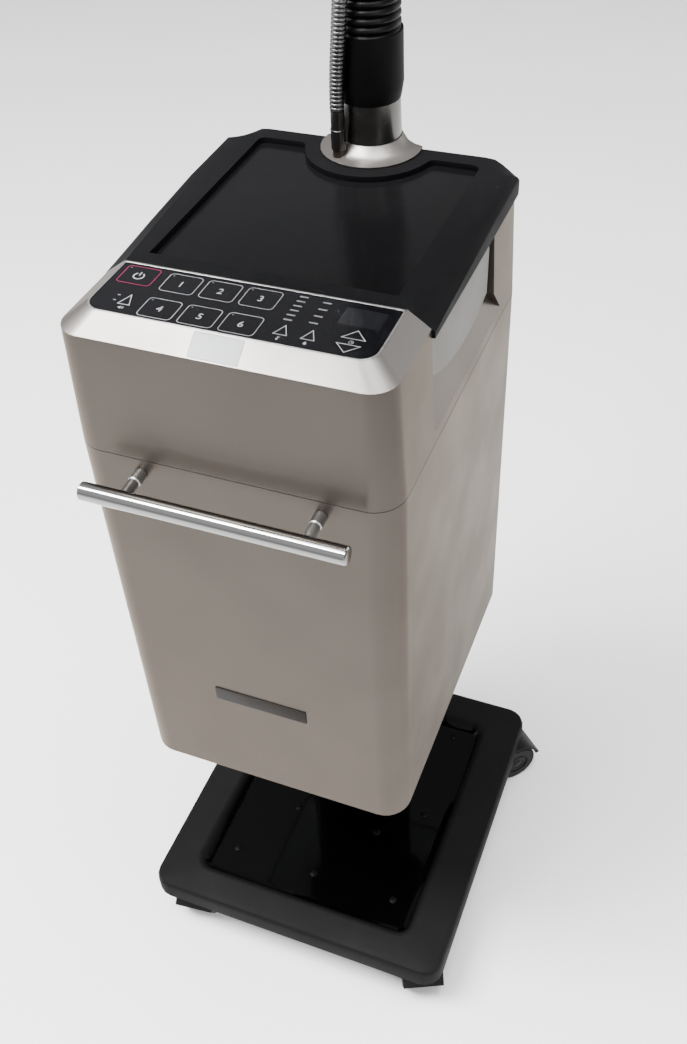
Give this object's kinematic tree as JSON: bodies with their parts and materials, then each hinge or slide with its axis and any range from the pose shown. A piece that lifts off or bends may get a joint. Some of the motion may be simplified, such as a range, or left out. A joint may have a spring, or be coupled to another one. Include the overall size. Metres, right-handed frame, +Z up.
{
  "type": "hair steamer",
  "caption": "Floor-standing hair steamer on a wheeled base: silver cabinet with key panel, side water tank, front bar handle and a ribbed hose arm carrying a tilting dome hood.",
  "frame": {"origin": "point on the floor under the middle of the base, where the casters stand", "axes": "+Z up, -Y towards the front where the handle and key panel are, +X towards the side with the water tank"},
  "size_m": [0.4505, 0.6458, 1.8493],
  "materials": {
    "silver_paint": "silver painted moulding, satin",
    "black_satin": "satin black moulding",
    "column_paint": "black powder coat",
    "black_gloss": "gloss black overlay",
    "black_plastic": "fine grained black",
    "rubber": "matt black",
    "chrome": "bright plated",
    "dark_chrome": "dark plated",
    "steel": "zinc plated sheet",
    "lens_white": "translucent white",
    "display_grey": "clear window over a grey display",
    "board_green": "solder mask",
    "tank_clear": "clear, filled with water",
    "tank_grey": "light grey moulding",
    "hood_clear": "translucent moulding"
  },
  "bodies": {
    "chassis": {"base_cover": "black_satin", "base_plate": "steel", "column": "column_paint", "lower_housing": "silver_paint", "bottom_pan": "steel", "rear_panel": "black_satin", "hose_spine": "silver_paint", "power_inlet": "black_plastic", "rocker_frame": "black_plastic", "upper_housing": "silver_paint", "top_tray": "black_satin", "control_panel": "black_gloss", "display_window": "display_grey", "control_board": "board_green", "signal_lens": "lens_white", "handle_bar": "chrome", "handle_post_left": "chrome", "handle_post_right": "chrome", "hose_collar": "silver_paint", "conduit_ferrule": "dark_chrome", "arm_conduit": "chrome", "tank_scoop": "silver_paint", "tank_dock": "black_plastic"},
    "arm": {"swivel_ferrule": "dark_chrome", "hose_cuff": "rubber", "arm_hose": "rubber", "hood_coupling": "black_plastic"},
    "hood": {"hood_yoke": "black_plastic", "hood_shell": "hood_clear", "hood_rim": "rubber"},
    "tank": {"water_tank": "tank_clear", "tank_fascia": "tank_grey", "tank_cap": "black_plastic"},
    "rocker": {"rocker_switch": "black_plastic"},
    "key_start": {"key_start": "black_gloss"},
    "key_program_1": {"key_program_1": "black_gloss"},
    "key_program_2": {"key_program_2": "black_gloss"},
    "key_program_3": {"key_program_3": "black_gloss"},
    "key_program_4": {"key_program_4": "black_gloss"},
    "key_program_5": {"key_program_5": "black_gloss"},
    "key_program_6": {"key_program_6": "black_gloss"},
    "key_volume": {"key_volume": "black_gloss"},
    "key_temperature": {"key_temperature": "black_gloss"},
    "key_mist": {"key_mist": "black_gloss"},
    "key_time_up": {"key_time_up": "black_gloss"},
    "key_time_down": {"key_time_down": "black_gloss"},
    "caster_front_left": {"caster_fork_front_left": "black_plastic"},
    "wheel_front_left": {"caster_wheel_front_left": "black_plastic"},
    "caster_front_right": {"caster_fork_front_right": "black_plastic"},
    "wheel_front_right": {"caster_wheel_front_right": "black_plastic"},
    "caster_rear_left": {"caster_fork_rear_left": "black_plastic"},
    "wheel_rear_left": {"caster_wheel_rear_left": "black_plastic"},
    "caster_rear_right": {"caster_fork_rear_right": "black_plastic"},
    "wheel_rear_right": {"caster_wheel_rear_right": "black_plastic"}
  },
  "joints": [
    {"name": "arm_swivel", "type": "hinge", "parent": "chassis", "child": "arm", "pos_m": [0, 0.172, 1.0482], "axis": [0, 0, 1], "range_deg": [-60, 60], "deforming": ["arm_conduit"]},
    {"name": "hood_tilt", "type": "hinge", "parent": "arm", "child": "hood", "pos_m": [0, -0.228, 1.5397], "axis": [1, 0, 0], "range_deg": [-20, 20]},
    {"name": "tank_slide", "type": "slide", "parent": "chassis", "child": "tank", "axis": [1, 0, 0], "range_m": [0, 0.26]},
    {"name": "rocker_turn", "type": "hinge", "parent": "chassis", "child": "rocker", "pos_m": [0.045, 0.178, 0.552], "axis": [1, 0, 0], "range_deg": [-10, 0]},
    {"name": "key_start_press", "type": "slide", "parent": "chassis", "child": "key_start", "axis": [0, 0, -1], "range_m": [0, 0.0008], "stiffness_N_per_m": 800},
    {"name": "key_program_1_press", "type": "slide", "parent": "chassis", "child": "key_program_1", "axis": [0, 0, -1], "range_m": [0, 0.0008], "stiffness_N_per_m": 800},
    {"name": "key_program_2_press", "type": "slide", "parent": "chassis", "child": "key_program_2", "axis": [0, 0, -1], "range_m": [0, 0.0008], "stiffness_N_per_m": 800},
    {"name": "key_program_3_press", "type": "slide", "parent": "chassis", "child": "key_program_3", "axis": [0, 0, -1], "range_m": [0, 0.0008], "stiffness_N_per_m": 800},
    {"name": "key_program_4_press", "type": "slide", "parent": "chassis", "child": "key_program_4", "axis": [0, 0, -1], "range_m": [0, 0.0008], "stiffness_N_per_m": 800},
    {"name": "key_program_5_press", "type": "slide", "parent": "chassis", "child": "key_program_5", "axis": [0, 0, -1], "range_m": [0, 0.0008], "stiffness_N_per_m": 800},
    {"name": "key_program_6_press", "type": "slide", "parent": "chassis", "child": "key_program_6", "axis": [0, 0, -1], "range_m": [0, 0.0008], "stiffness_N_per_m": 800},
    {"name": "key_volume_press", "type": "slide", "parent": "chassis", "child": "key_volume", "axis": [0, 0, -1], "range_m": [0, 0.0008], "stiffness_N_per_m": 800},
    {"name": "key_temperature_press", "type": "slide", "parent": "chassis", "child": "key_temperature", "axis": [0, 0, -1], "range_m": [0, 0.0008], "stiffness_N_per_m": 800},
    {"name": "key_mist_press", "type": "slide", "parent": "chassis", "child": "key_mist", "axis": [0, 0, -1], "range_m": [0, 0.0008], "stiffness_N_per_m": 800},
    {"name": "key_time_up_press", "type": "slide", "parent": "chassis", "child": "key_time_up", "axis": [0, 0, -1], "range_m": [0, 0.0008], "stiffness_N_per_m": 800},
    {"name": "key_time_down_press", "type": "slide", "parent": "chassis", "child": "key_time_down", "axis": [0, 0, -1], "range_m": [0, 0.0008], "stiffness_N_per_m": 800},
    {"name": "swivel_front_left", "type": "hinge", "parent": "chassis", "child": "caster_front_left", "pos_m": [-0.1625, -0.159, 0], "axis": [0, 0, 1], "continuous": true},
    {"name": "roll_front_left", "type": "hinge", "parent": "caster_front_left", "child": "wheel_front_left", "pos_m": [-0.1602, -0.18088, 0.0325], "axis": [0.9945, 0.1045, 0], "continuous": true},
    {"name": "swivel_front_right", "type": "hinge", "parent": "chassis", "child": "caster_front_right", "pos_m": [0.1625, -0.159, 0], "axis": [0, 0, 1], "continuous": true},
    {"name": "roll_front_right", "type": "hinge", "parent": "caster_front_right", "child": "wheel_front_right", "pos_m": [0.1718, -0.17894, 0.0325], "axis": [0.9063, 0.4226, 0], "continuous": true},
    {"name": "swivel_rear_left", "type": "hinge", "parent": "chassis", "child": "caster_rear_left", "pos_m": [-0.178, 0.178, 0], "axis": [0, 0, 1], "continuous": true},
    {"name": "roll_rear_left", "type": "hinge", "parent": "caster_rear_left", "child": "wheel_rear_left", "pos_m": [-0.17231, 0.19925, 0.0325], "axis": [-0.9659, 0.2588, 0], "continuous": true},
    {"name": "swivel_rear_right", "type": "hinge", "parent": "chassis", "child": "caster_rear_right", "pos_m": [0.178, 0.178, 0], "axis": [0, 0, 1], "continuous": true},
    {"name": "roll_rear_right", "type": "hinge", "parent": "caster_rear_right", "child": "wheel_rear_right", "pos_m": [0.19272, 0.19435, 0.0325], "axis": [-0.7431, 0.6691, 0], "continuous": true}
  ]
}
